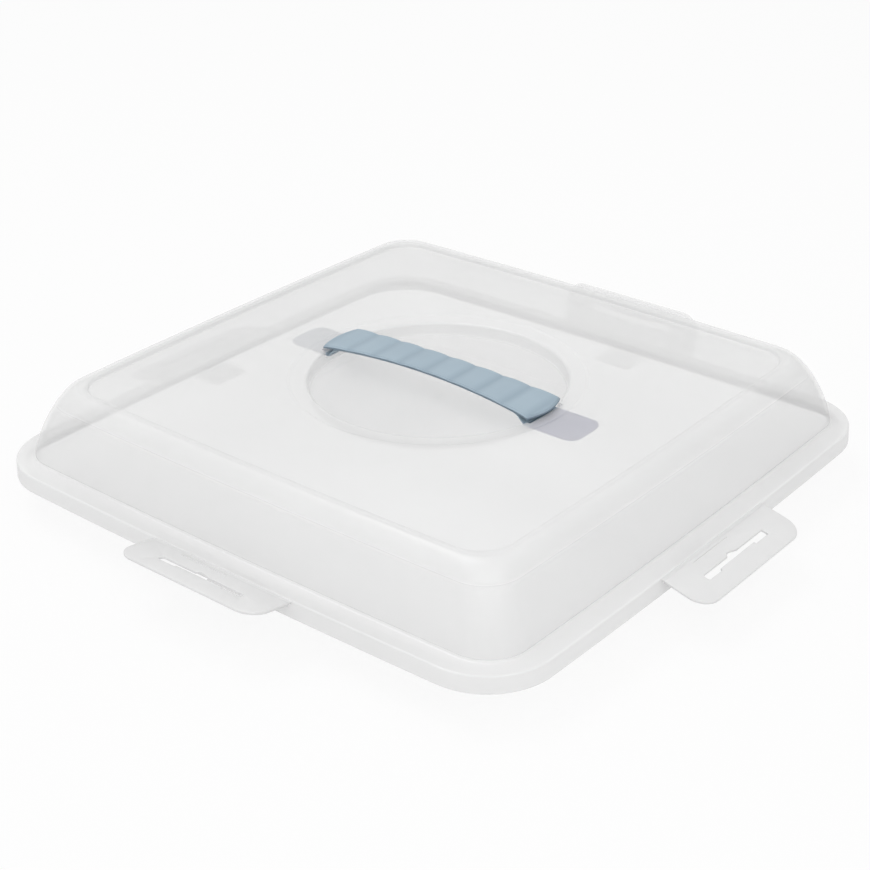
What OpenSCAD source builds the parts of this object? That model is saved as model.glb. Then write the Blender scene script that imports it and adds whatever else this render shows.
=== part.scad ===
// Square cake carrier: a milky clear lid with four folding clips and a
// flexible strap handle, over a shallow tray that holds the cake.
// The origin is the centre of the tray's underside, +Z is up, and the
// handle runs along X. "Inset" is a distance in from the rim's outer edge.

/* [Rim] */
// Width of the lid's rim along X, without the bow of its sides
rim_w = 340; // [320:1:360]
// Depth of the lid's rim along Y, without the bow of its sides
rim_d = 333; // [313:1:353]
// Radius of the rim's corners
rim_r = 37; // [32:1:42]
// How far each side bows out at its middle
side_bow = 1.6; // [0.8:0.1:2.4]
// Height of the skirt, from its lower edge to the top of the flange
skirt_h = 9.4; // [9:0.1:10]
// Width of the flat flange around the dome
flange_w = 11.6; // [10.5:0.1:12.5]
// Wall thickness of the lid
lid_t = 1.4; // [1.2:0.1:1.6]
// Height of the skirt's lower edge above the table
skirt_lift = 20; // [19.5:0.1:21]

/* [Dome] */
// Height of the crest above the flange
dome_h = 38.6; // [37:0.2:41]
// How far the crest stands in from the dome's foot
crest_in = 20; // [19:0.5:22]
// Drop from the crest to the flat top panel
panel_drop = 3; // [2.8:0.1:3.6]
// Corner radius at the dome's foot
foot_r = 22; // [18:1:28]
// Corner radius at the edge of the top panel
panel_r = 18; // [14:1:22]

/* [Handle well] */
// Radius of the round well under the handle
well_r = 68; // [66:0.5:70]
// Outer radius of the sloping shoulder around the well
shoulder_r = 79; // [76:0.5:84]
// Depth of the well's centre below the top panel
well_depth = 12; // [11.5:0.5:14]

/* [Handle] */
// Half the length of the grip
grip_half = 71.4; // [71:0.1:72]
// How far the ends of the grip bow out
end_bow = 3; // [2:0.2:3.4]
// Half the length of the whole strap, with the tongues at its ends
strap_half = 96; // [90:1:100]
// Thickness of the grip in the troughs between its finger rests
grip_t = 2; // [1.6:0.1:2.4]
// Height of the finger rests above the troughs
rest_h = 0.7; // [0.3:0.1:1]
// Number of finger rests
rest_count = 8; // [6:1:10]
// Width of the grip at its middle
grip_w = 22; // [20:0.5:25]
// Width of the grip at its ends
grip_end_w = 28.5; // [27:0.5:30]
// Width of the tongues
tongue_w = 26; // [22:0.5:26.5]
// Thickness of the tongues
tongue_t = 1.3; // [1.1:0.1:1.5]
// How far the grip's middle rises above its ends
grip_rise = 4.2; // [3.4:0.1:4.6]

/* [Clips] */
// Width of a clip along its hinge
clip_w = 90.8; // [86:0.2:96]
// Length of a clip, from its hinge to its free edge
clip_l = 24.4; // [23.6:0.2:26]
// Thickness of a clip
clip_t = 1.4; // [1.2:0.1:1.5]
// Radius of a clip's outer corners
clip_r = 10.8; // [8:0.2:12]
// Length of the slot that snaps over the tray's lug
slot_l = 53.6; // [50:0.2:56]
// Width of the slot at its ends
slot_w = 3.6; // [3.4:0.1:4]
// Angles of the right, front, back and left clips above level, as they stand
clip_angles = [-14.4, 11.2, 82.7, -14.4];
// Places of the same four clips along their sides, from the side's middle
clip_places = [-2.2, 5.5, -8, 2.2];

/* [Tray] */
// Thickness of the tray
tray_t = 1.8; // [1.5:0.1:2.2]
// Inset of the tray's outer edge
tray_edge = 4.6; // [4.4:0.1:5]
// Inset of the edge of the tray's floor
tray_floor_in = 31; // [29:0.5:34]
// Corner radius of the tray's floor
tray_floor_r = 45; // [42:1:50]

/* [Hidden] */
$fn = 64;

// Faces along each corner of a ring, points between the corners, points in all
corner_steps = 8;
side_points = 5;
ring_points = 4 * (corner_steps + 1 + side_points);

// Heights
flange_z = skirt_lift + skirt_h;
crest_z = flange_z + dome_h;
panel_z = crest_z - panel_drop;
seat_gap = 0.3;
tray_top = flange_z - lid_t - seat_gap;

// Half-widths along X of the rim, the dome's foot and its crest
rim_u = rim_w / 2;
foot_u = rim_u - flange_w;
crest_u = foot_u - crest_in;

// Hinges: the root of a clip is a bead around the hinge's axis, just outside
// the rim, so that a closed clip hangs straight down in front of the skirt
bead_r = clip_t / 2;
hinge_gap = 0.35;
hinge_out = bead_r + hinge_gap;
hinge_z = flange_z - bead_r;

function mix(a, b, t) = a + (b - a) * t;
function arc(t) = 1 - pow(2 * t - 1, 2);

// Curve from a to c that is drawn towards b, without its first point
function curve(a, b, c, steps) = [
    for (k = [1:steps])
        let (t = k / steps)
        mix(mix(a, b, t), mix(b, c, t), t)
];

// ---- Rings: rounded squares with bowed sides, and circles ----

function lid_corner_r(inset) =
    inset < flange_w ? mix(rim_r, foot_r, inset / flange_w)
    : mix(foot_r, panel_r, min(1, (inset - flange_w) / (crest_in + 3)));

function tray_corner_r(inset) =
    mix(rim_r - tray_edge, tray_floor_r, (inset - tray_edge) / (tray_floor_in - tray_edge));

// Corner centre of quarter q
function corner_at(q, half_x, half_y, r) =
    [(q == 0 || q == 3 ? 1 : -1) * (half_x - r), (q < 2 ? 1 : -1) * (half_y - r)];

function square_ring(inset, z, r) =
    let (half_x = rim_w / 2 - inset, half_y = rim_d / 2 - inset)
    [
        for (q = [0:3])
            let (
                here = corner_at(q, half_x, half_y, r),
                next = corner_at((q + 1) % 4, half_x, half_y, r),
                out = [cos(90 * q + 90), sin(90 * q + 90)]
            )
            each concat(
                [
                    for (k = [0:corner_steps])
                        let (a = 90 * (q + k / corner_steps))
                        [here[0] + r * cos(a), here[1] + r * sin(a), z]
                ],
                [
                    for (k = [1:side_points])
                        let (t = k / (side_points + 1), p = mix(here, next, t) + out * (r + side_bow * arc(t)))
                        [p[0], p[1], z]
                ]
            )
    ];

function circle_ring(r, z) = [
    for (j = [0:ring_points - 1])
        let (a = 45 + (j - corner_steps / 2) * 360 / ring_points)
        [r * cos(a), r * sin(a), z]
];

// Solid skinned over a row of rings. The row runs from the middle of the
// underside, round the edge, to the middle of the top, where flat faces close
// it. A band's row runs all the way round its section instead.
module skin(rings, band = false) {
    n = ring_points;
    count = len(rings);
    sides = [
        for (i = [0:band ? count - 1 : count - 2], j = [0:n - 1])
            let (next = (i + 1) % count, k = (j + 1) % n)
            [i * n + j, next * n + j, next * n + k, i * n + k]
    ];
    floor_face = [for (j = [0:n - 1]) j];
    roof_face = [for (j = [n - 1:-1:0]) (count - 1) * n + j];
    polyhedron([for (ring = rings) each ring], concat(band ? [] : [floor_face, roof_face], sides));
}

// ---- Lid ----
// The lid is one moulding. Its four regions meet face to face: the rim, the
// wall with the rounded crest, the flat top panel and the well.

// Outer profile as [half-width along X, height], from the skirt's lower edge
// over the dome to the middle of the well
rim_line = [
    [rim_u, skirt_lift],
    [rim_u - 0.4, flange_z - 0.9],
    [rim_u - 1.2, flange_z],
    [foot_u + 1.6, flange_z],
    [foot_u, flange_z + 1.2]
];
wall_line = concat(
    // wall, up to the faint crease below the dome's rounded edge
    curve([foot_u, flange_z + 1.2], [foot_u - 2.5, flange_z + 16], [foot_u - 10.5, flange_z + 30], 5),
    // rounded edge, up to the crest
    curve([foot_u - 10.5, flange_z + 30], [crest_u + 4.6, crest_z], [crest_u, crest_z], 4),
    // inner side of the crest, down to the top panel
    curve([crest_u, crest_z], [crest_u - 2.6, crest_z], [crest_u - 2.9, crest_z - 2.4], 3),
    [
        [crest_u - 3.6, panel_z + 0.2],
        [crest_u - 5, panel_z]
    ]
);
well_line = [
    [shoulder_r, panel_z],
    [shoulder_r - 4, panel_z - 0.4],
    [well_r + 2, panel_z - 0.9],
    [well_r + 0.6, panel_z - 1.5],
    [well_r, panel_z - 2.8],
    [well_r - 0.8, panel_z - well_depth + 4.6],
    [well_r - 3.2, panel_z - well_depth + 2.2],
    [well_r - 12, panel_z - well_depth + 1.3],
    [well_r - 38, panel_z - well_depth + 0.3],
    [6, panel_z - well_depth]
];
lid_outside = concat(rim_line, wall_line, well_line);

// Points of the profile where the wall, the panel and the well begin
wall_start = len(rim_line) - 1;
panel_start = wall_start + len(wall_line);
well_start = panel_start + 1;

// Outward normal of the profile's stretch k
function normal_of(profile, k) =
    let (d = profile[k + 1] - profile[k])
    [d[1], -d[0]] / norm(d);

// The same profile moved inwards by the wall's thickness
function thinned(profile, t) = [
    for (k = [0:len(profile) - 1])
        let (
            before = normal_of(profile, max(0, k - 1)),
            after = normal_of(profile, min(len(profile) - 2, k)),
            inner = profile[k] - t * (before + after) / (1 + before * after)
        )
        [inner[0], k == 0 ? profile[0][1] : inner[1]]
];

lid_inside = thinned(lid_outside, lid_t);

function lid_ring(p) =
    p[0] > shoulder_r + 2
        ? square_ring(rim_u - p[0], p[1], lid_corner_r(rim_u - p[0]))
        : circle_ring(p[0], p[1]);

// Rings of one region of the lid: back along its inside, then along its outside
function lid_rings(first, last) = concat(
    [for (k = [last:-1:first]) lid_ring(lid_inside[k])],
    [for (k = [first:last]) lid_ring(lid_outside[k])]
);

// Puts its children on one side of the rim: 0 right, 1 front, 2 back, 3 left.
// There +X points outwards from the rim's edge and +Y runs along the side.
side_turn = [0, -90, 90, 180];
side_reach = [rim_w / 2, rim_d / 2, rim_d / 2, rim_w / 2];
module on_side(k) {
    rotate([0, 0, side_turn[k]])
        translate([side_reach[k] + side_bow, clip_places[k], 0])
            children();
}

// Where a tongue of the handle passes through the edge of the well
tongue_slot_w = tongue_w + 1.6;
module tongue_slot() {
    translate([well_r - 7, -tongue_slot_w / 2, panel_z - 4.7])
        cube([9.4, tongue_slot_w, 8]);
}

lid_colour = [0.93, 0.94, 0.95, 0.6];

module lid_rim() {
    color(lid_colour)
        skin(lid_rings(0, wall_start), band = true);
}

module lid_wall() {
    color(lid_colour)
        skin(lid_rings(wall_start, panel_start), band = true);
}

module lid_panel() {
    color(lid_colour)
        skin(lid_rings(panel_start, well_start), band = true);
}

module lid_well() {
    color(lid_colour)
        difference() {
            skin(lid_rings(well_start, len(lid_outside) - 1));
            for (turn = [0, 180])
                rotate([0, 0, turn]) tongue_slot();
        }
}

// ---- Clips ----

// The slot's edge on the side of the hinge, and how far the catch in the
// slot's middle narrows it from the other side
slot_in = 10.2;
catch_reach = 1.2;

// Flat shape of a clip, with its hinge along Y
module clip_outline() {
    catch_half = 15;
    difference() {
        union() {
            translate([0, -clip_w / 2]) square([clip_l - clip_r, clip_w]);
            translate([0, -clip_w / 2 + clip_r]) square([clip_l, clip_w - 2 * clip_r]);
            for (s = [-1, 1])
                translate([clip_l - clip_r, s * (clip_w / 2 - clip_r)]) circle(clip_r);
        }
        // slot, narrower in its middle, with a small nick opposite
        difference() {
            translate([slot_in, -slot_l / 2]) square([slot_w, slot_l]);
            translate([slot_in + slot_w - catch_reach, -catch_half]) square([catch_reach + 1, 2 * catch_half]);
        }
        polygon([
            [slot_in + 0.5, -5.2],
            [slot_in, -5.2],
            [slot_in - 1.8, -3.4],
            [slot_in - 1.5, -0.8],
            [slot_in, 3.4],
            [slot_in + 0.5, 3.4]
        ]);
    }
}

module clip(k) {
    on_side(k)
        translate([hinge_out, 0, hinge_z])
            rotate([0, -clip_angles[k], 0]) {
                translate([0, 0, -clip_t / 2]) linear_extrude(clip_t) clip_outline();
                translate([0, clip_w / 2, 0]) rotate([90, 0, 0]) cylinder(r = bead_r, h = clip_w, $fn = 32);
            }
}

module clip_right() { color(lid_colour) clip(0); }
module clip_front() { color(lid_colour) clip(1); }
module clip_back() { color(lid_colour) clip(2); }
module clip_left() { color(lid_colour) clip(3); }

// ---- Handle ----

grip_z = panel_z + 0.2;
grip_bend = (pow(grip_half, 2) + pow(grip_rise, 2)) / (2 * grip_rise);
corner_x = grip_half - end_bow;
rest_pitch = 2 * corner_x / rest_count;

// Height of the grip's underside at x
function grip_under(x) = grip_z + grip_rise - grip_bend + sqrt(pow(grip_bend, 2) - pow(x, 2));
// Height of the finger rests at x, above the troughs between them
function rest_at(x) = abs(x) < corner_x ? rest_h * abs(sin(180 * (x + corner_x) / rest_pitch)) : 0;
// Height of the grip's top at x
function grip_top(x) = grip_under(x) + grip_t + rest_at(x);

// Side view of the grip, in the plane of X and Z
module grip_side() {
    top_steps = 5 * rest_count;
    under_steps = 16;
    polygon(concat(
        [[-grip_half, grip_top(grip_half)]],
        [for (k = [0:top_steps]) let (x = mix(-corner_x, corner_x, k / top_steps)) [x, grip_top(x)]],
        [[grip_half, grip_top(grip_half)]],
        [for (k = [under_steps:-1:0]) let (x = mix(-grip_half, grip_half, k / under_steps)) [x, grip_under(x)]]
    ));
}

// The grip from above: narrow in its middle and wide at its bowed ends
module grip_plan() {
    steps = 24;
    end_steps = 8;
    function half_at(x) = mix(grip_w, grip_end_w, pow(x / corner_x, 2)) / 2;
    function end_at(t) = [corner_x + end_bow * arc(t), mix(1, -1, t) * grip_end_w / 2];
    polygon(concat(
        [for (k = [0:steps]) let (x = mix(-corner_x, corner_x, k / steps)) [x, half_at(x)]],
        [for (k = [1:end_steps - 1]) end_at(k / end_steps)],
        [for (k = [steps:-1:0]) let (x = mix(-corner_x, corner_x, k / steps)) [x, -half_at(x)]],
        [for (k = [1:end_steps - 1]) -end_at(k / end_steps)]
    ));
}

// Side view of the tongue at the grip's +X end: it leaves the grip's
// underside, drops through the edge of the well and runs under the top panel
module tongue_side() {
    tongue_z = panel_z - 4.1;
    polygon([
        [59, grip_under(59) + 0.8],
        [60, grip_under(60)],
        [well_r - 1.5, tongue_z],
        [strap_half, tongue_z],
        [strap_half, tongue_z + tongue_t],
        [well_r - 0.6, tongue_z + tongue_t],
        [65, grip_under(65)],
        [64, grip_under(64) + 0.8]
    ]);
}

// The same tongue from above, with a rounded tip
module tongue_plan() {
    tip_r = 6;
    length = strap_half - 50;
    union() {
        translate([50, -tongue_w / 2]) square([length - tip_r, tongue_w]);
        translate([50, tip_r - tongue_w / 2]) square([length, tongue_w - 2 * tip_r]);
        for (s = [-1, 1])
            translate([strap_half - tip_r, s * (tongue_w / 2 - tip_r)]) circle(tip_r);
    }
}

module handle_strap() {
    color([0.66, 0.74, 0.79])
        union() {
            intersection() {
                translate([0, 30, 0]) rotate([90, 0, 0]) linear_extrude(60) grip_side();
                translate([0, 0, panel_z - 10]) linear_extrude(24) grip_plan();
            }
            for (turn = [0, 180])
                rotate([0, 0, turn])
                    intersection() {
                        translate([0, 30, 0]) rotate([90, 0, 0]) linear_extrude(60) tongue_side();
                        translate([0, 0, panel_z - 10]) linear_extrude(24) tongue_plan();
                    }
        }
}

// ---- Tray ----

tray_wall_top = tray_edge + 2.9;
tray_lip_z = tray_top - tray_t;
wall_slope = (tray_floor_in - 1.5 - tray_wall_top) / (tray_lip_z - 1.4);

tray_profile = [
    [tray_floor_in, 0],
    [tray_floor_in - 0.9, 0.4],
    [tray_floor_in - 1.5, 1.4],
    [tray_wall_top, tray_lip_z],
    [tray_edge, tray_lip_z],
    [tray_edge, tray_top - 0.6],
    [tray_edge + 0.6, tray_top],
    [tray_wall_top + 0.8, tray_top],
    [tray_wall_top + 1.9, tray_top - 0.9],
    [tray_floor_in + 0.4, 2.5],
    [tray_floor_in + 1.8, tray_t]
];

// Lug that a closed clip's slot snaps over: a level blade that stands out of
// the tray's sloping wall, below the skirt, and through the slot's middle
lug_l = 24;
lug_side_gap = 0.4;
lug_proud = 0.6;
module lug() {
    low = hinge_z - slot_in - slot_w + catch_reach + lug_side_gap;
    high = hinge_z - slot_in - lug_side_gap;
    // from inside the wall to just beyond the closed clip
    root = tray_wall_top + (tray_lip_z - low) * wall_slope + 0.5;
    translate([-root, -lug_l / 2, low])
        cube([root + hinge_out + bead_r + lug_proud, lug_l, high - low]);
}

module tray() {
    color([0.93, 0.94, 0.93])
        union() {
            skin([for (p = tray_profile) square_ring(p[0], p[1], tray_corner_r(p[0]))]);
            for (k = [0:3])
                on_side(k) lug();
        }
}

tray();
lid_rim();
lid_wall();
lid_panel();
lid_well();
clip_right();
clip_front();
clip_back();
clip_left();
handle_strap();
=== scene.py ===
"""Looks of the square cake carrier: milky lid, folding clips, strap handle and tray.

Lengths are in millimetres, as in the part's source, and become metres when a mesh is made.
"""

from math import acos, atan2, cos, pi, radians, sin, sqrt, tan

import bmesh
import bpy
import numpy as np
from mathutils import Matrix, Vector
from mathutils.geometry import tessellate_polygon


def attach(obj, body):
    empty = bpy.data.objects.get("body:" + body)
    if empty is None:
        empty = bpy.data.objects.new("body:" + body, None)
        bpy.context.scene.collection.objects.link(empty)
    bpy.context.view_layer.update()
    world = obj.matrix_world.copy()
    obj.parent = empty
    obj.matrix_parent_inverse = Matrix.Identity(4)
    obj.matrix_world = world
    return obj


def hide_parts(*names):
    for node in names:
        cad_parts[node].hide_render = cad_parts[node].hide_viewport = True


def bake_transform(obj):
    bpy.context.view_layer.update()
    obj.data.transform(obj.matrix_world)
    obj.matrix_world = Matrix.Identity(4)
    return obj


MM = 0.001

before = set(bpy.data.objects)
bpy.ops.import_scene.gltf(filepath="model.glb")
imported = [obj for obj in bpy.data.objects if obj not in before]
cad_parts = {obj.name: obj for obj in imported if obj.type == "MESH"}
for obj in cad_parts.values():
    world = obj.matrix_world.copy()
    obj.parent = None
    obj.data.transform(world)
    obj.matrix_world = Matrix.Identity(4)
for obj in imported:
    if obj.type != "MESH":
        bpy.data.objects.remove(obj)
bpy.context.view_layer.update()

# ---- Sizes, the same named values as in the part's source ----

RIM_W, RIM_D, RIM_R = 340.0, 333.0, 37.0
SIDE_BOW = 1.6
SKIRT_H, SKIRT_LIFT = 9.4, 20.0
FLANGE_W = 11.6
LID_T = 1.4
DOME_H, CREST_IN, PANEL_DROP = 38.6, 20.0, 3.0
FOOT_R, PANEL_R = 22.0, 18.0
WELL_R, SHOULDER_R, WELL_DEPTH = 68.0, 79.0, 12.0

GRIP_HALF, STRAP_HALF, END_BOW = 71.4, 96.0, 3.0
GRIP_T, REST_H, REST_COUNT = 2.0, 0.7, 8
GRIP_W, GRIP_END_W, GRIP_RISE = 22.0, 28.5, 4.2
TONGUE_W, TONGUE_T = 26.0, 1.3

CLIP_W, CLIP_L, CLIP_T, CLIP_R = 90.8, 24.4, 1.4, 10.8
SLOT_L, SLOT_W, SLOT_IN, CATCH_REACH = 53.6, 3.6, 10.2, 1.2

TRAY_T, TRAY_EDGE, TRAY_FLOOR_IN, TRAY_FLOOR_R = 1.8, 4.6, 31.0, 45.0

# ---- Sizes of small forms ----

CREASE_IN, CREASE_UP = 10.5, 30.0
CATCH_HALF = 15.0
POCKET_SLOPE = 0.12
WEB_T = 0.3
ROUND_R, LOW_ROUND_R = 0.8, 0.4
TONGUE_DROP, TONGUE_TIP_R, TONGUE_GROOVE, TONGUE_GROOVE_HALF = 4.1, 6.0, 0.18, 1.1
LUG_HALF, LUG_R, LUG_GAP = 12.0, 2.2, 0.4

# ---- Places worked out from them. A u is a distance from the middle towards the right side ----

FLANGE_Z = SKIRT_LIFT + SKIRT_H
CREST_Z = FLANGE_Z + DOME_H
CREASE_Z = FLANGE_Z + CREASE_UP
PANEL_Z = CREST_Z - PANEL_DROP
WELL_Z = PANEL_Z - WELL_DEPTH
TRAY_TOP = FLANGE_Z - LID_T - 0.3
LIP_Z = TRAY_TOP - TRAY_T
TRAY_WALL_IN = TRAY_EDGE + 2.9
RIM_U = RIM_W / 2
FOOT_U = RIM_U - FLANGE_W
CREST_U = FOOT_U - CREST_IN
SQUARE_U = SHOULDER_R + 10
BEAD_R = CLIP_T / 2
HINGE_OUT = BEAD_R + 0.35
HINGE_Z = FLANGE_Z - BEAD_R

GRIP_Z = PANEL_Z + 0.2
GRIP_BEND = (GRIP_HALF**2 + GRIP_RISE**2) / (2 * GRIP_RISE)
CORNER_X = GRIP_HALF - END_BOW
REST_PITCH = 2 * CORNER_X / REST_COUNT

# Each side of the rim: turn of its frame, clip's angle above level and place along the side
SIDES = {
    "back": (90.0, 82.7, -8.0),
    "left": (180.0, -14.4, 2.2),
    "front": (270.0, 11.2, 5.5),
    "right": (0.0, -14.4, -2.2),
}


# ---- Lines and loops ----


def mix(a, b, t):
    return a + (b - a) * t


def curve(a, b, c, steps):
    """Points of the curve from a to c that is drawn towards b, without a."""
    a, b, c = (np.array(p, float) for p in (a, b, c))
    times = [k / steps for k in range(1, steps + 1)]
    return [tuple((1 - t) ** 2 * a + 2 * t * (1 - t) * b + t * t * c) for t in times]


def fillet(before, corner, after, radius, steps):
    """Points of the arc of that radius that rounds a corner."""
    before, corner, after = (np.array(p, float) for p in (before, corner, after))
    to_a = (before - corner) / np.linalg.norm(before - corner)
    to_b = (after - corner) / np.linalg.norm(after - corner)
    half = acos(np.clip(to_a @ to_b, -1, 1)) / 2
    middle = (to_a + to_b) / np.linalg.norm(to_a + to_b)
    centre = corner + middle * radius / sin(half)
    start, end = corner + to_a * radius / tan(half), corner + to_b * radius / tan(half)
    first, last = atan2(*(start - centre)[::-1]), atan2(*(end - centre)[::-1])
    sweep = (last - first + pi) % (2 * pi) - pi
    angles = [first + sweep * k / steps for k in range(steps + 1)]
    return [(centre[0] + radius * cos(a), centre[1] + radius * sin(a)) for a in angles]


def rounded(corners, steps=5):
    """An open line through corners (u, z, radius), each rounded by its radius."""
    line = [corners[0][:2]]
    for before, here, after in zip(corners, corners[1:], corners[2:]):
        if here[2]:
            line += fillet(before[:2], here[:2], after[:2], here[2], steps)
        else:
            line.append(here[:2])
    return line + [corners[-1][:2]]


def moved_in(line, distance):
    """The line moved to its left by distance, without the stretches that would fold over themselves."""
    points = np.array(line, float)
    along = np.diff(points, axis=0)
    normals = np.c_[-along[:, 1], along[:, 0]] / np.linalg.norm(along, axis=1)[:, None]
    before, after = np.r_[normals[:1], normals], np.r_[normals, normals[-1:]]
    mitre = (before + after) / (1 + (before * after).sum(1))[:, None]
    moved = points + mitre * distance
    offset = moved[:, None] - points[None, :-1]
    share = np.clip((offset * along[None]).sum(2) / (along**2).sum(1)[None], 0, 1)
    reach = np.linalg.norm(offset - share[..., None] * along[None], axis=2).min(1)
    sound = 0.985 * distance
    kept = reach > sound
    kept[[0, -1]] = True
    return [tuple(p) for p in moved[kept]]


def loop_arc(centre, radius, first, last, steps=8):
    """Points of an arc from the first angle to the last, in degrees."""
    turns = [radians(mix(first, last, k / steps)) for k in range(steps + 1)]
    return [(centre[0] + radius * cos(a), centre[1] + radius * sin(a)) for a in turns]


def inset_loop(loop, distance):
    """A closed loop moved to its left by distance, with mitred corners."""
    points = np.array(loop, float)
    along = np.roll(points, -1, axis=0) - points
    normals = np.c_[-along[:, 1], along[:, 0]] / np.linalg.norm(along, axis=1)[:, None]
    before = np.roll(normals, 1, axis=0)
    return points + (before + normals) / (1 + (before * normals).sum(1))[:, None] * distance


# ---- Solids as points and faces ----


def band(low, high, count):
    """Faces between two closed rings of points, each given by the number of its first point."""
    return [(low + j, low + (j + 1) % count, high + (j + 1) % count, high + j) for j in range(count)]


def skin(rings):
    """The solid skinned over rings, from the middle of its underside to that of its top."""
    count, points = len(rings[0]), np.concatenate(rings)
    faces = [tuple(range(count))[::-1]]
    for low in range(0, len(points) - count, count):
        faces += band(low, low + count, count)
    faces.append(tuple(range(len(points) - count, len(points))))
    return points, faces


def slab(rows):
    """The solid between two grids of points. Each row holds pairs of an upper and a lower point."""
    width, last = len(rows[0]), len(rows) - 1
    points = [upper for row in rows for upper, _ in row] + [lower for row in rows for _, lower in row]
    shift, faces = len(points) // 2, []
    for i in range(last):
        for j in range(width - 1):
            near, far = i * width + j, (i + 1) * width + j
            faces.append((near, far, far + 1, near + 1))
            faces.append((shift + near, shift + near + 1, shift + far + 1, shift + far))
    border = [i * width for i in range(last)] + [last * width + j for j in range(width - 1)]
    border += [i * width + width - 1 for i in range(last, 0, -1)] + list(range(width - 1, 0, -1))
    faces += [(a, shift + a, shift + b, b) for a, b in zip(border, border[1:] + border[:1])]
    return points, faces


def plate(loops, thickness, bevel, pockets=()):
    """A flat plate with rounded edges. The first loop is its outline, counter-clockwise, and the others are
    holes, clockwise. A pocket (loop, depth) is a shallow recess in its top, given clockwise."""
    turns = [radians(a) for a in (0, 30, 60, 90)]
    rise = [(bevel * (1 - cos(a)), thickness / 2 - bevel * (1 - sin(a))) for a in turns]
    levels = [(distance, -z) for distance, z in reversed(rise)] + rise
    top = len(levels) - 1
    points, faces, caps = [], [], {0: [], top: []}
    for loop in loops:
        count, base = len(loop), len(points)
        for level, (distance, z) in enumerate(levels):
            ring = [(x, y, z) for x, y in inset_loop(loop, distance)]
            if level in caps:
                caps[level].append((len(points), ring))
            points += ring
        for level in range(top):
            faces += band(base + level * count, base + (level + 1) * count, count)
    for loop, depth in pockets:
        count, z = len(loop), thickness / 2
        rim, floor = len(points), len(points) + len(loop)
        edge = [(x, y, z) for x, y in loop]
        points += edge + [(x, y, z - depth) for x, y in inset_loop(loop, -POCKET_SLOPE)]
        caps[top].append((rim, edge))
        faces += band(rim, floor, count) + [tuple(range(floor, floor + count))[::-1]]
    for parts in caps.values():
        numbers = [base + j for base, ring in parts for j in range(len(ring))]
        for a, b, c in tessellate_polygon([[Vector(p) for p in ring] for _, ring in parts]):
            faces.append((numbers[a], numbers[b], numbers[c]))
    return points, faces


# ---- Pieces of the scene ----


def smooth(mesh):
    """Smooth shading, except along sharp edges."""
    mesh.shade_smooth()
    mesh.set_sharp_from_angle(angle=radians(35))


def mesh_piece(name, shape, material, nodes=()):
    """A piece from points in millimetres and faces, which takes the place of the nodes."""
    points, faces = shape
    mesh = bpy.data.meshes.new(name)
    mesh.from_pydata([tuple(c * MM for c in p) for p in points], [], faces)
    mesh.validate()
    smooth(mesh)
    mesh.materials.append(material)
    piece = bpy.data.objects.new(name, mesh)
    bpy.context.scene.collection.objects.link(piece)
    if nodes:
        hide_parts(*nodes)
    return piece


def face_outwards(piece):
    """Joins points that coincide and turns every face outwards."""
    shape = bmesh.new()
    shape.from_mesh(piece.data)
    bmesh.ops.remove_doubles(shape, verts=shape.verts, dist=1e-6)
    bmesh.ops.recalc_face_normals(shape, faces=shape.faces)
    shape.to_mesh(piece.data)
    shape.free()
    smooth(piece.data)


def give_zones(piece, materials, zone):
    """Adds materials to the piece and gives each face the one that zone names by its number."""
    for material in materials:
        piece.data.materials.append(material)
    for face in piece.data.polygons:
        face.material_index = zone(face)


def side_frame(name, z):
    """Frame at the clip's place on a side: origin on the bowed edge at that height, X out, Y along it."""
    turn, _, place = SIDES[name]
    reach = (RIM_W if name in ("left", "right") else RIM_D) / 2 + SIDE_BOW
    return Matrix.Rotation(radians(turn), 4, "Z") @ Matrix.Translation(Vector((reach, place, z)) * MM)


def cut(piece, cutter):
    """Takes the cutter's shape out of the piece and deletes the cutter."""
    change = piece.modifiers.new("cut", "BOOLEAN")
    change.operation = "DIFFERENCE"
    change.solver = "EXACT"
    change.object = cutter
    shape = bpy.data.meshes.new_from_object(piece.evaluated_get(bpy.context.evaluated_depsgraph_get()))
    piece.modifiers.clear()
    piece.data = shape
    bpy.data.objects.remove(cutter)


def box_cutter(low, high):
    """A box between two opposite corners, to cut with."""
    x, y, z = zip(low, high)
    points = [(a * MM, b * MM, c * MM) for a in x for b in y for c in z]
    faces = [(0, 1, 3, 2), (4, 6, 7, 5), (0, 4, 5, 1), (2, 3, 7, 6), (0, 2, 6, 4), (1, 5, 7, 3)]
    mesh = bpy.data.meshes.new("cutter")
    mesh.from_pydata(points, [], faces)
    cutter = bpy.data.objects.new("cutter", mesh)
    bpy.context.scene.collection.objects.link(cutter)
    return cutter


# ---- Rings of the lid and the tray ----

CORNER_STEPS, SIDE_STEPS = 18, 24
COLUMNS = []
for quarter in range(4):
    COLUMNS += [("corner", quarter, k / CORNER_STEPS) for k in range(CORNER_STEPS + 1)]
    COLUMNS += [("side", quarter, 2 * k / SIDE_STEPS - 1) for k in range(1, SIDE_STEPS)]


def square_ring(inset, radius):
    """One point (x, y) for each column, on a rounded square with bowed sides."""
    half_x, half_y = RIM_W / 2 - inset, RIM_D / 2 - inset
    points = []
    for kind, quarter, value in COLUMNS:
        if kind == "corner":
            angle = pi / 2 * (quarter + value)
            signs = np.array([1 if quarter in (0, 3) else -1, 1 if quarter in (0, 1) else -1])
            centre = signs * (half_x - radius, half_y - radius)
            points.append(centre + radius * np.array([cos(angle), sin(angle)]))
            continue
        turn = pi / 2 * (quarter + 1)
        out, along = np.array([cos(turn), sin(turn)]), np.array([-sin(turn), cos(turn)])
        reach, length = (half_y, half_x - radius) if quarter % 2 == 0 else (half_x, half_y - radius)
        points.append(out * (reach + SIDE_BOW * (1 - value**2)) + along * length * value)
    return np.array(points)


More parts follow.
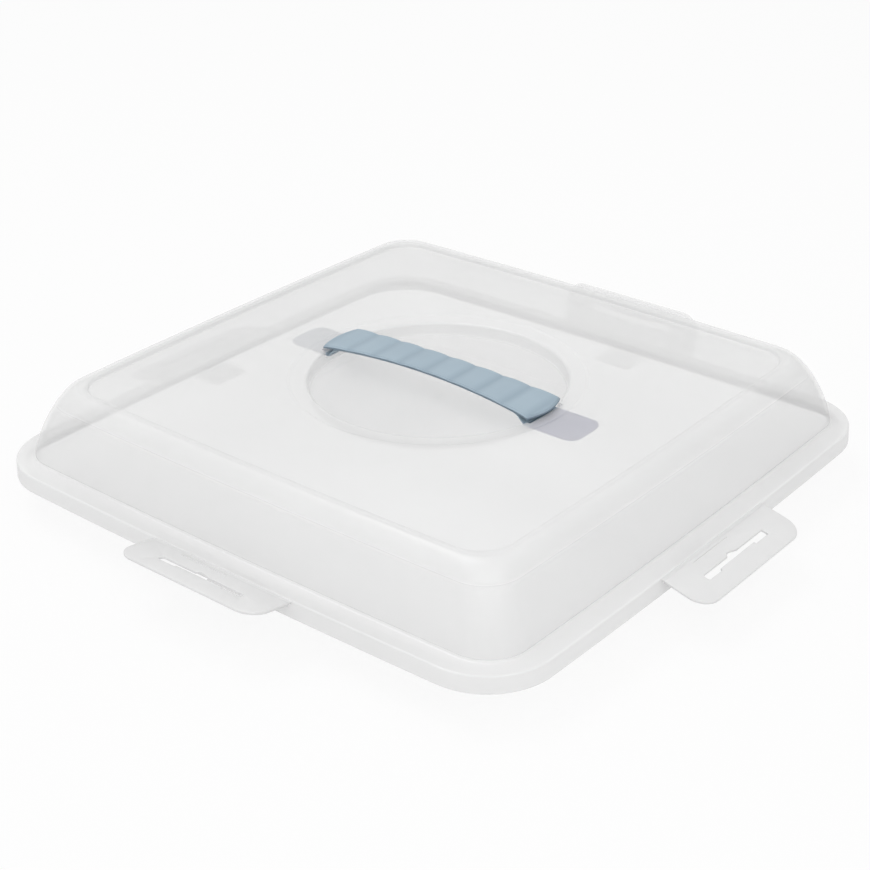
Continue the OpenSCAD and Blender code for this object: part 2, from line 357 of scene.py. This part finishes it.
def circle_ring(radius):
    """One point for each column, in the same direction from the middle as on the panel's edge."""
    edge = square_ring(RIM_U - CREST_U + 10, PANEL_R)
    return radius * edge / np.linalg.norm(edge, axis=1)[:, None]


def lid_corner_r(inset):
    """Corner radius of the lid at a distance in from the rim."""
    if inset < FLANGE_W:
        return mix(RIM_R, FOOT_R, inset / FLANGE_W)
    return mix(FOOT_R, PANEL_R, min(1.0, (inset - FLANGE_W) / (CREST_IN + 3)))


def tray_corner_r(inset):
    """Corner radius of the tray at a distance in from the rim."""
    return mix(RIM_R - TRAY_EDGE, TRAY_FLOOR_R, (inset - TRAY_EDGE) / (TRAY_FLOOR_IN - TRAY_EDGE))


def lid_ring(u, z):
    """Ring of the lid at (u, z): square outside SQUARE_U and round within it."""
    flat = square_ring(RIM_U - u, lid_corner_r(RIM_U - u)) if u > SQUARE_U else circle_ring(u)
    return np.c_[flat, np.full(len(flat), z)]


# ---- Lid ----


def lid_outside():
    """Outer profile (u, z), from the skirt's lower edge over the dome to the middle of the well."""
    foot_top = (FOOT_U - 0.35, FLANGE_Z + 2.4)
    crease = (FOOT_U - CREASE_IN, CREASE_Z)
    skirt = rounded(
        [
            (RIM_U - 0.5, SKIRT_LIFT, 0),
            (RIM_U, SKIRT_LIFT, 0.45),
            (RIM_U - 0.4, FLANGE_Z, 1.0),
            (mix(RIM_U, FOOT_U, 0.5), FLANGE_Z, 0),
            (FOOT_U + 0.2, FLANGE_Z, 1.5),
            foot_top + (0,),
        ]
    )
    wall = curve(foot_top, (FOOT_U - 2.7, FLANGE_Z + 16), crease, 16)
    step = [(crease[0] - 0.32, crease[1] + 0.2)]
    edge = curve(step[0], (CREST_U + 4.4, CREST_Z), (CREST_U, CREST_Z), 14)
    inner_edge = curve((CREST_U, CREST_Z), (CREST_U - 2.6, CREST_Z), (CREST_U - 2.9, CREST_Z - 1.8), 6)
    panel = rounded(
        [
            inner_edge[-1] + (0,),
            (CREST_U - 3.2, PANEL_Z, 0.9),
            (CREST_U - 10, PANEL_Z, 0),
        ]
    )
    well = rounded(
        [
            (SHOULDER_R + 6, PANEL_Z, 0),
            (SHOULDER_R, PANEL_Z, 3),
            (SHOULDER_R - 1.6, PANEL_Z - 0.5, 2.5),
            (WELL_R + 1, PANEL_Z - 0.9, 1.6),
            (WELL_R - 1.3, PANEL_Z - 8, 3.6),
            (WELL_R - 12, PANEL_Z - 10.7, 10),
            (WELL_R - 40, WELL_Z + 0.3, 40),
            (3.4, WELL_Z, 0),
            (3.0, WELL_Z - 0.3, 0),
            (1.7, WELL_Z - 0.3, 0),
            (1.3, WELL_Z + 0.35, 0),
        ],
        steps=7,
    )
    return skirt + wall + step + edge + inner_edge + panel[1:] + well


def lid_shape():
    """The lid's shell, between its inner and its outer profile."""
    outside = lid_outside()
    start = next(k for k, p in enumerate(outside) if p[1] > SKIRT_LIFT + 0.4)
    inside = [(RIM_U - LID_T + 0.4, SKIRT_LIFT), (RIM_U - LID_T, SKIRT_LIFT + 0.5)]
    inside += moved_in(outside[start:], LID_T)[1:]
    return skin([lid_ring(*p) for p in inside[::-1] + outside])


def lid_zone(face):
    """0 for the panel and its edge, 1 for the rim, 2 for the wall below the crease and 3 for the well."""
    out, z = face.center.xy.length / MM, face.center.z / MM
    if z < FLANGE_Z + 1.2:
        return 1
    if out < WELL_R and z < PANEL_Z - 1:
        return 3
    return 2 if out > SQUARE_U and z < CREASE_Z else 0


def make_lid(material, *zone_materials):
    """The lid's moulding, with a slot for each tongue of the handle and a clearness for each of its zones.
    The wall and the well are clearer and paler than the panel: painted light that lifts the shade on the wall
    and the strap's shadow in the well.
    """
    nodes = ("lid_rim", "lid_wall", "lid_panel", "lid_well")
    lid = mesh_piece("lid_moulding", lid_shape(), material, nodes)
    half = TONGUE_W / 2 + 0.8
    for side in (-1, 1):
        ends = sorted((side * (WELL_R - 7), side * (WELL_R + 2.4)))
        cut(lid, box_cutter((ends[0], -half, PANEL_Z - 4.7), (ends[1], half, PANEL_Z + 3.3)))
    smooth(lid.data)
    give_zones(lid, zone_materials, lid_zone)
    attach(lid, "lid")


# ---- Clips ----


def clip_loops():
    """Outline of a clip and its slot with nick and catch. The hinge is along Y and the free edge at +X."""
    half = CLIP_W / 2
    outline = [(0.0, half), (0.0, -half)]
    outline += loop_arc((CLIP_L - CLIP_R, -half + CLIP_R), CLIP_R, -90, 0)
    outline += loop_arc((CLIP_L - CLIP_R, half - CLIP_R), CLIP_R, 0, 90)
    slot_out, end, round_r, sharp_r = SLOT_IN + SLOT_W, SLOT_L / 2, 1.2, 0.5
    nick = [(SLOT_IN, -5.2), (SLOT_IN - 1.8, -3.4), (SLOT_IN - 1.5, -0.8), (SLOT_IN, 3.4)]
    catch = [(slot_out, CATCH_HALF + 0.7), (slot_out - CATCH_REACH, CATCH_HALF)]
    catch += [(slot_out - CATCH_REACH, -CATCH_HALF), (slot_out, -CATCH_HALF - 0.7)]
    slot = loop_arc((SLOT_IN + round_r, -end + round_r), round_r, 270, 180, 4) + nick
    slot += loop_arc((SLOT_IN + sharp_r, end - sharp_r), sharp_r, 180, 90, 3)
    slot += loop_arc((slot_out - sharp_r, end - sharp_r), sharp_r, 90, 0, 3) + catch
    slot += loop_arc((slot_out - round_r, -end + round_r), round_r, 0, -90, 4)
    return outline, slot


def make_clip(name, material):
    """One clip, with a fine groove along its root, and its living hinge."""
    angle, body = SIDES[name][1], "clip_" + name
    groove = [(1.7, -23.0), (1.7, 7.0), (2.3, 7.0), (2.3, -23.0)]
    shape = plate(clip_loops(), CLIP_T, 0.45, [(groove, 0.3)])
    flap = mesh_piece(body + "_flap", shape, material, (body,))
    face_outwards(flap)
    at_hinge = side_frame(name, HINGE_Z) @ Matrix.Translation(Vector((HINGE_OUT, 0, 0)) * MM)
    flap.data.transform(at_hinge @ Matrix.Rotation(radians(-angle), 4, "Y"))
    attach(flap, body)
    make_hinge(body, at_hinge, angle, material)


def make_hinge(body, at_hinge, angle, material):
    """The thin flexible strip that joins a clip's root to the flange."""
    half, steps, rise = CLIP_W / 2 - 0.3, 6, radians(angle + 90)
    start, end = (-HINGE_OUT - 1.0, 0.3), (0.5 * cos(rise), 0.5 * sin(rise))
    line = [(mix(start[0], end[0], k / steps), mix(start[1], end[1], k / steps)) for k in range(steps + 1)]
    loop = line + [(x, z - WEB_T) for x, z in line[::-1]]
    count = len(loop)
    points = [(x, y, z) for y in (-half, half) for x, z in loop]
    faces = band(0, count, count) + [tuple(range(count))[::-1], tuple(range(count, 2 * count))]
    web = mesh_piece(body + "_living_hinge", (points, faces), material)
    web.data.transform(at_hinge)
    face_outwards(web)
    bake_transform(web)


# ---- Handle ----


def grip_under(x):
    """Height of the arched grip's underside."""
    return GRIP_Z + GRIP_RISE - GRIP_BEND + sqrt(GRIP_BEND**2 - x * x)


def grip_half_width(x):
    """Half the grip's width, which grows from its middle to its ends."""
    return mix(GRIP_W, GRIP_END_W, min(1.0, (x / CORNER_X) ** 2)) / 2


def edge_drop(edge, radius):
    """How far an edge rounded by radius lies below the flat, at a distance from the edge."""
    return radius - sqrt(max(0.0, radius**2 - max(0.0, radius - edge) ** 2))


def grip_row(share, across):
    """Upper and lower points across the grip, where share runs from -1 to 1 along it."""
    along_x = share * CORNER_X
    half = grip_half_width(along_x)
    phase = abs(sin(pi * (along_x + CORNER_X) / REST_PITCH))
    row = []
    for j in range(across + 1):
        side = mix(-1, 1, j / across)
        x = share * (CORNER_X + END_BOW * (1 - side * side))
        rest = REST_H * phase**0.75 * mix(0.5, 1.0, (side + 1) / 2)
        crown = 0.1 * (1 - side * side)
        edge = min((1 - abs(side)) * half, (1 - abs(share)) * CORNER_X)
        under = grip_under(min(abs(x), GRIP_HALF))
        top = under + GRIP_T + rest + crown - edge_drop(edge, ROUND_R)
        row.append(((x, side * half, top), (x, side * half, under + edge_drop(edge, LOW_ROUND_R))))
    return row


def make_grip(material, side_shade_material):
    """The arched grip: finger rests across its top, strongest at the back edge, and bowed ends."""
    along, across = 192, 28
    shape = slab([grip_row(mix(-1, 1, i / along), across) for i in range(along + 1)])
    grip = mesh_piece("handle_strap_grip", shape, material, ("handle_strap",))
    face_outwards(grip)
    # The side and end faces take the darker material: painted shade along the grip's edges.
    give_zones(grip, [side_shade_material], lambda face: int(abs(face.normal.z) < 0.5))
    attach(grip, "handle")


def tongue_path():
    """Middle line (x, z) of a tongue, from inside the grip to the tongue's tip."""
    middle = PANEL_Z - TONGUE_DROP + TONGUE_T / 2
    path = [(59.5, grip_under(59.5) + 0.4), (61.5, grip_under(61.5) - 0.3), (66.4, middle - 0.05)]
    path += [(x, middle) for x in (69, 74, 80)]
    turns = np.linspace(0, pi / 2, 9)
    return path + [(STRAP_HALF - TONGUE_TIP_R * (1 - sin(a)), middle) for a in turns]


def tongue_row(before, here, after, across):
    """Upper and lower points across the tongue at one point of its path. Its edges are thinner, and a
    groove runs along its middle."""
    x, z = here
    beyond = max(0.0, x - (STRAP_HALF - TONGUE_TIP_R))
    half = TONGUE_W / 2 - TONGUE_TIP_R + sqrt(max(0.0, TONGUE_TIP_R**2 - beyond**2))
    run, rise = after[0] - before[0], after[1] - before[1]
    length = sqrt(run**2 + rise**2)
    row = []
    for j in range(across + 1):
        side = mix(-1, 1, j / across)
        at_edge = max(0.0, abs(side) - 0.93) / 0.07
        down = TONGUE_T / 2 * (1 - 0.45 * at_edge)
        up = down - TONGUE_GROOVE * max(0.0, 1 - abs(side * half) / TONGUE_GROOVE_HALF)
        row.append([(x - rise / length * t, side * half, z + run / length * t) for t in (up, -down)])
    return row


def make_tongue(side, material, root_material):
    """One tongue: it leaves the grip's underside, drops through the well's edge and runs under the panel."""
    path, across = tongue_path(), 14
    triples = zip(path[:1] + path, path, path[1:] + path[-1:])
    points, faces = slab([tongue_row(*triple, across) for triple in triples])
    shape = [(side * x, side * y, z) for x, y, z in points], faces
    name = "handle_strap_tongue_" + ("right" if side > 0 else "left")
    tongue = mesh_piece(name, shape, material, ("handle_strap",))
    face_outwards(tongue)
    give_zones(tongue, [root_material], lambda face: int(abs(face.center.x) < (WELL_R + 1) * MM))
    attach(tongue, "handle")


# ---- Tray ----


def tray_shape():
    """The tray, from the middle of its underside over its lip to the middle of its floor."""
    profile = [
        (TRAY_FLOOR_IN + 6, 0, 0),
        (TRAY_FLOOR_IN, 0, 2.2),
        (TRAY_WALL_IN, LIP_Z, 1.0),
        (TRAY_EDGE, LIP_Z, 0.5),
        (TRAY_EDGE, TRAY_TOP, 0.7),
        (TRAY_WALL_IN + 1.4, TRAY_TOP, 1.6),
        (TRAY_FLOOR_IN + 0.9, TRAY_T, 3.0),
        (TRAY_FLOOR_IN + 8, TRAY_T, 0),
    ]
    rings = []
    for u, z in rounded([(RIM_U - inset, z, radius) for inset, z, radius in profile], steps=6):
        flat = square_ring(RIM_U - u, tray_corner_r(min(RIM_U - u, TRAY_FLOOR_IN + 1.8)))
        rings.append(np.c_[flat, np.full(len(flat), z)])
    shares = (0.05, 0.3, 0.6, 0.82)
    below = [rings[0] * (share, share, 1) for share in shares]
    above = [rings[-1] * (share, share, 1) for share in reversed(shares)]
    return skin(below + rings + above)


def make_tray(material, lug_material):
    """The tray's moulding and its four catch lugs."""
    tray = mesh_piece("tray_moulding", tray_shape(), material, ("tray",))
    face_outwards(tray)
    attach(tray, "tray")
    for name in SIDES:
        make_lug(name, lug_material)


def make_lug(name, material):
    """The level blade that a closed clip's slot snaps over."""
    slope = (TRAY_FLOOR_IN - 1.5 - TRAY_WALL_IN) / (LIP_Z - 1.4)
    low = HINGE_Z - SLOT_IN - SLOT_W + CATCH_REACH + LUG_GAP
    high = HINGE_Z - SLOT_IN - LUG_GAP
    root, tip = -(TRAY_WALL_IN + (LIP_Z - low) * slope + 0.5), HINGE_OUT + BEAD_R + 0.6
    outline = [(root, LUG_HALF), (root, -LUG_HALF)]
    outline += loop_arc((tip - LUG_R, -LUG_HALF + LUG_R), LUG_R, -90, 0, 5)
    outline += loop_arc((tip - LUG_R, LUG_HALF - LUG_R), LUG_R, 0, 90, 5)
    shape = plate([outline], high - low, 0.4)
    lug = mesh_piece("tray_lug_" + name, shape, material, ("tray",))
    face_outwards(lug)
    lug.data.transform(side_frame(name, (low + high) / 2))
    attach(lug, "tray")


# ---- Materials ----


def new_material(name):
    """A material with its nodes, its links and its shader."""
    material = bpy.data.materials.new(name)
    material.use_nodes = True
    nodes, links = material.node_tree.nodes, material.node_tree.links
    return material, nodes, links, nodes["Principled BSDF"]


def noise(nodes, links, scale, detail, stretch=(1, 1, 1)):
    """Smooth noise in the piece's own coordinates."""
    coords = nodes.new("ShaderNodeTexCoord")
    mapping = nodes.new("ShaderNodeMapping")
    mapping.inputs["Scale"].default_value = stretch
    texture = nodes.new("ShaderNodeTexNoise")
    texture.inputs["Scale"].default_value = scale
    texture.inputs["Detail"].default_value = detail
    links.new(coords.outputs["Object"], mapping.inputs["Vector"])
    links.new(mapping.outputs["Vector"], texture.inputs["Vector"])
    return texture.outputs["Fac"]


def ramp(nodes, links, value, low, high, start=0.35, end=0.65):
    """Goes from low to high while value goes from start to end."""
    node = nodes.new("ShaderNodeMapRange")
    node.inputs["From Min"].default_value = start
    node.inputs["From Max"].default_value = end
    node.inputs["To Min"].default_value = low
    node.inputs["To Max"].default_value = high
    links.new(value, node.inputs["Value"])
    return node.outputs["Result"]


def calculate(nodes, links, value, operation, other=0.0):
    """One step of arithmetic with a number or another node's value."""
    node = nodes.new("ShaderNodeMath")
    node.operation = operation
    links.new(value, node.inputs[0])
    if isinstance(other, float):
        node.inputs[1].default_value = other
    else:
        links.new(other, node.inputs[1])
    return node.outputs[0]


def bump(nodes, links, shader, heights):
    """Adds bumps one on the other: (height value, strength, distance in metres)."""
    normal = None
    for value, strength, distance in heights:
        node = nodes.new("ShaderNodeBump")
        node.inputs["Strength"].default_value = strength
        node.inputs["Distance"].default_value = distance
        links.new(value, node.inputs["Height"])
        if normal:
            links.new(normal, node.inputs["Normal"])
        normal = node.outputs["Normal"]
    links.new(normal, shader.inputs["Normal"])


def colour_mix(nodes, links, value, first, second):
    """The first colour where value is 0 and the second where it is 1. Each may be another node's colour."""
    node = nodes.new("ShaderNodeMix")
    node.data_type = "RGBA"
    for name, colour in (("A", first), ("B", second)):
        if isinstance(colour, tuple):
            node.inputs[name].default_value = (*colour, 1)
        else:
            links.new(colour, node.inputs[name])
    links.new(value, node.inputs["Factor"])
    return node.outputs["Result"]


def milky_plastic(name, alpha, light, dark, roughness, ior):
    """Translucent grey-white polypropylene with soft clouds and flow marks."""
    material, nodes, links, shader = new_material(name)
    cloud = ramp(nodes, links, noise(nodes, links, 9, 3), 0, 1)
    fine = noise(nodes, links, 420, 2)
    flow = noise(nodes, links, 26, 2, (1, 0.35, 0.6))
    links.new(colour_mix(nodes, links, cloud, (dark,) * 3, (light,) * 3), shader.inputs["Base Color"])
    links.new(ramp(nodes, links, flow, roughness - 0.03, roughness + 0.05), shader.inputs["Roughness"])
    shader.inputs["Alpha"].default_value = alpha
    shader.inputs["IOR"].default_value = ior
    shader.inputs["Specular IOR Level"].default_value = 0.7
    bump(nodes, links, shader, [(flow, 0.25, 0.0012), (fine, 0.12, 0.0001)])
    return material


def trough_shade_mask(nodes, links):
    """Mask of the painted shade: 1 in the troughs between the finger rests and 0 on the rests."""
    split = nodes.new("ShaderNodeSeparateXYZ")
    links.new(nodes.new("ShaderNodeTexCoord").outputs["Object"], split.inputs[0])
    value = calculate(nodes, links, split.outputs["X"], "MULTIPLY", pi / (REST_PITCH * MM))
    value = calculate(nodes, links, value, "ADD", REST_COUNT / 2 * pi)
    value = calculate(nodes, links, value, "SINE")
    value = calculate(nodes, links, value, "ABSOLUTE")
    return ramp(nodes, links, value, 1, 0, 0.05, 0.75)


def strap_plastic(name, dark, light, trough_shade_colour=None):
    """Soft satin plastic with a fine moulded grain. The troughs between the finger rests can get a darker
    colour, which is painted shade.
    """
    material, nodes, links, shader = new_material(name)
    cloud = noise(nodes, links, 40, 3)
    grain = noise(nodes, links, 2600, 2)
    colour = colour_mix(nodes, links, ramp(nodes, links, cloud, 0, 1), dark, light)
    if trough_shade_colour:
        colour = colour_mix(nodes, links, trough_shade_mask(nodes, links), colour, trough_shade_colour)
    links.new(colour, shader.inputs["Base Color"])
    links.new(ramp(nodes, links, grain, 0.42, 0.55), shader.inputs["Roughness"])
    shader.inputs["Specular IOR Level"].default_value = 0.4
    bump(nodes, links, shader, [(cloud, 0.15, 0.0004), (grain, 0.2, 0.00006)])
    return material


# ---- Stage, lights and camera ----


def seen_directly(nodes, links):
    """1 for rays of the camera, also by reflection or through glass, and 0 for the light's own."""
    path = nodes.new("ShaderNodeLightPath")
    value = path.outputs["Is Camera Ray"]
    for name in ("Is Glossy Ray", "Is Transmission Ray"):
        value = calculate(nodes, links, value, "MAXIMUM", path.outputs[name])
    return value


def floor_material():
    """White to the camera and in reflections, with the object's soft shadow kept."""
    material, nodes, links, _ = new_material("floor")
    nodes.clear()
    output = nodes.new("ShaderNodeOutputMaterial")
    diffuse = nodes.new("ShaderNodeBsdfDiffuse")
    diffuse.inputs["Color"].default_value = (0.85, 0.85, 0.85, 1)
    glow = nodes.new("ShaderNodeEmission")
    glow.inputs["Strength"].default_value = 1.0
    mixer = nodes.new("ShaderNodeMixShader")
    links.new(ramp(nodes, links, seen_directly(nodes, links), 0, 0.9, 0, 1), mixer.inputs["Fac"])
    links.new(diffuse.outputs[0], mixer.inputs[1])
    links.new(glow.outputs[0], mixer.inputs[2])
    links.new(mixer.outputs[0], output.inputs["Surface"])
    return material


def make_stage():
    """A wide floor, a hair below the tray's underside."""
    reach = 6.0
    corners = [(-reach, -reach, 0), (reach, -reach, 0), (reach, reach, 0), (-reach, reach, 0)]
    mesh = bpy.data.meshes.new("floor")
    mesh.from_pydata(corners, [], [(0, 1, 2, 3)])
    mesh.materials.append(floor_material())
    floor = bpy.data.objects.new("floor", mesh)
    floor.location.z = -0.0002
    bpy.context.scene.collection.objects.link(floor)


def area_light(name, place, size, power):
    """A rectangular lamp aimed at the object's middle."""
    data = bpy.data.lights.new(name, "AREA")
    data.shape = "RECTANGLE"
    data.size, data.size_y = size
    data.energy = power
    lamp = bpy.data.objects.new(name, data)
    lamp.location = place
    aim = Vector((0, 0, 0.03)) - Vector(place)
    lamp.rotation_euler = aim.to_track_quat("-Z", "Y").to_euler()
    bpy.context.scene.collection.objects.link(lamp)


def make_lights():
    """An even white studio with two large soft lamps."""
    world = bpy.data.worlds.new("studio")
    bpy.context.scene.world = world
    world.use_nodes = True
    nodes, links = world.node_tree.nodes, world.node_tree.links
    background = nodes["Background"]
    background.inputs["Color"].default_value = (1, 1, 1, 1)
    level = ramp(nodes, links, seen_directly(nodes, links), 0.66, 1.0, 0, 1)
    links.new(level, background.inputs["Strength"])
    area_light("key", place=(-0.5, -0.3, 1.7), size=(1.2, 0.9), power=8)
    area_light("fill", place=(0.9, -0.8, 1.1), size=(1.4, 1.0), power=5.5)


def make_camera():
    """The camera that was fitted to the photo."""
    data = bpy.data.cameras.new("camera")
    data.sensor_width = 36
    data.lens = 73.365
    camera = bpy.data.objects.new("camera", data)
    place, target = Vector((0.53282, -0.64785, 0.46797)), Vector((0.00754, -0.01216, 0.03674))
    roll = radians(-0.5205)
    look = (target - place).to_track_quat("-Z", "Y").to_matrix().to_4x4()
    camera.matrix_world = Matrix.Translation(place) @ look @ Matrix.Rotation(roll, 4, "Z")
    bpy.context.scene.collection.objects.link(camera)
    bpy.context.scene.camera = camera


# ---- The whole scene ----

# The back clip's material is the same plastic as the other clips, made paler and clearer so that it looks
# fainter than they do: painted light that lifts the shade it would get behind the dome.
panel_plastic = milky_plastic("panel_plastic", alpha=0.37, light=0.94, dark=0.91, roughness=0.32, ior=1.6)
rim_plastic = milky_plastic("rim_plastic", alpha=0.6, light=0.93, dark=0.9, roughness=0.33, ior=1.6)
# The wall and the well are clearer and paler than the panel: painted light that lifts the shade on the steep
# wall and the strap's shadow on the well's floor.
wall_plastic_painted_light = milky_plastic("wall_plastic_painted_light", alpha=0.28, light=0.95, dark=0.92, roughness=0.32, ior=1.65)
well_plastic_painted_light = milky_plastic("well_plastic_painted_light", alpha=0.1, light=0.96, dark=0.93, roughness=0.32, ior=1.65)
clip_plastic = milky_plastic("clip_plastic", alpha=0.8, light=0.86, dark=0.83, roughness=0.33, ior=1.6)
back_clip_painted_light = milky_plastic("back_clip_painted_light", alpha=0.3, light=0.95, dark=0.92, roughness=0.33, ior=1.6)
tray_plastic = milky_plastic("tray_plastic", alpha=0.27, light=0.95, dark=0.92, roughness=0.33, ior=1.6)
lug_plastic = milky_plastic("lug_plastic", alpha=0.2, light=0.95, dark=0.92, roughness=0.33, ior=1.6)
# The trough colour is painted shade between the finger rests.
grip_plastic = strap_plastic(
    "grip_plastic", (0.345, 0.437, 0.508), (0.37, 0.466, 0.538), trough_shade_colour=(0.305, 0.392, 0.463)
)
# The grip's side and end faces are painted darker: painted shade on the strap's thickness.
side_shade_plastic = strap_plastic("grip_edge_plastic", (0.19, 0.25, 0.31), (0.21, 0.275, 0.335))
tongue_plastic = strap_plastic("tongue_plastic", (0.1, 0.11, 0.3), (0.115, 0.125, 0.32))
# The far tongue is the same plastic as the near one, painted pale grey: a painted reflection of the panel
# above it, which washes it out.
far_tongue_painted_reflection = strap_plastic("far_tongue_painted_reflection", (0.58, 0.6, 0.64), (0.6, 0.62, 0.66))

make_lid(panel_plastic, rim_plastic, wall_plastic_painted_light, well_plastic_painted_light)
for side_name in SIDES:
    # The back clip takes the paler, clearer material: painted light.
    make_clip(side_name, back_clip_painted_light if side_name == "back" else clip_plastic)
make_grip(grip_plastic, side_shade_plastic)
make_tongue(-1, far_tongue_painted_reflection, grip_plastic)
make_tongue(1, tongue_plastic, grip_plastic)
make_tray(tray_plastic, lug_plastic)
make_stage()
make_lights()
make_camera()

bpy.context.scene.view_settings.view_transform = "Standard"
